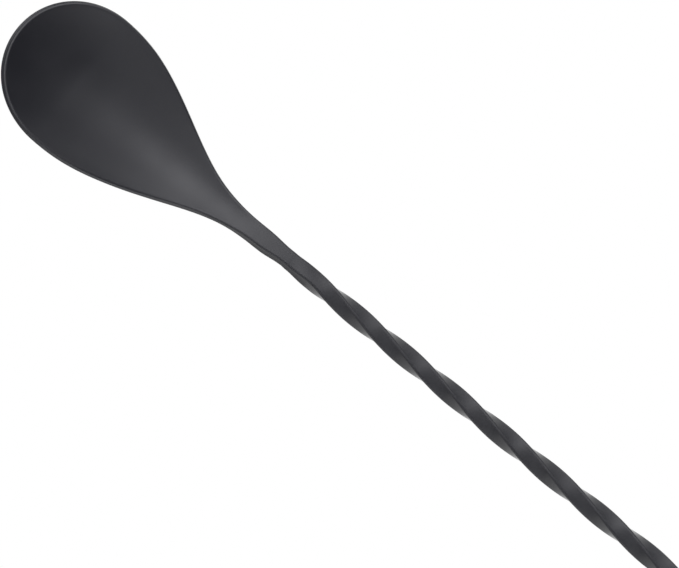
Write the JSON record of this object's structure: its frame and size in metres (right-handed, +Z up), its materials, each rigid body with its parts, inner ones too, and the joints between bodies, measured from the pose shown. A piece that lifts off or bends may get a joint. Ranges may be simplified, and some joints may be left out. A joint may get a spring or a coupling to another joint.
{
  "type": "bar spoon",
  "caption": "Long bar spoon: pear-shaped bowl on a slim neck, welded to a right-hand twisted square bar with a turned teardrop counterweight on its far end.",
  "frame": {"origin": "bottom centre of the spoon's box, on the surface that the spoon lies on", "axes": "+X from the bowl to the counterweight along the length, +Z up out of the open bowl, +Y to complete a right-handed frame; the bar itself rises by 0.40 degrees from +X, because the spoon rests on its bowl and on its thicker counterweight"},
  "size_m": [0.3, 0.0292, 0.009],
  "materials": {
    "coated_steel": "satin black coating on stainless steel, slightly bluish, with a fine grain"
  },
  "bodies": {
    "root": {"spoon_bowl": "coated_steel", "neck_weld": "coated_steel", "twisted_shaft": "coated_steel", "counterweight": "coated_steel"}
  },
  "joints": []
}
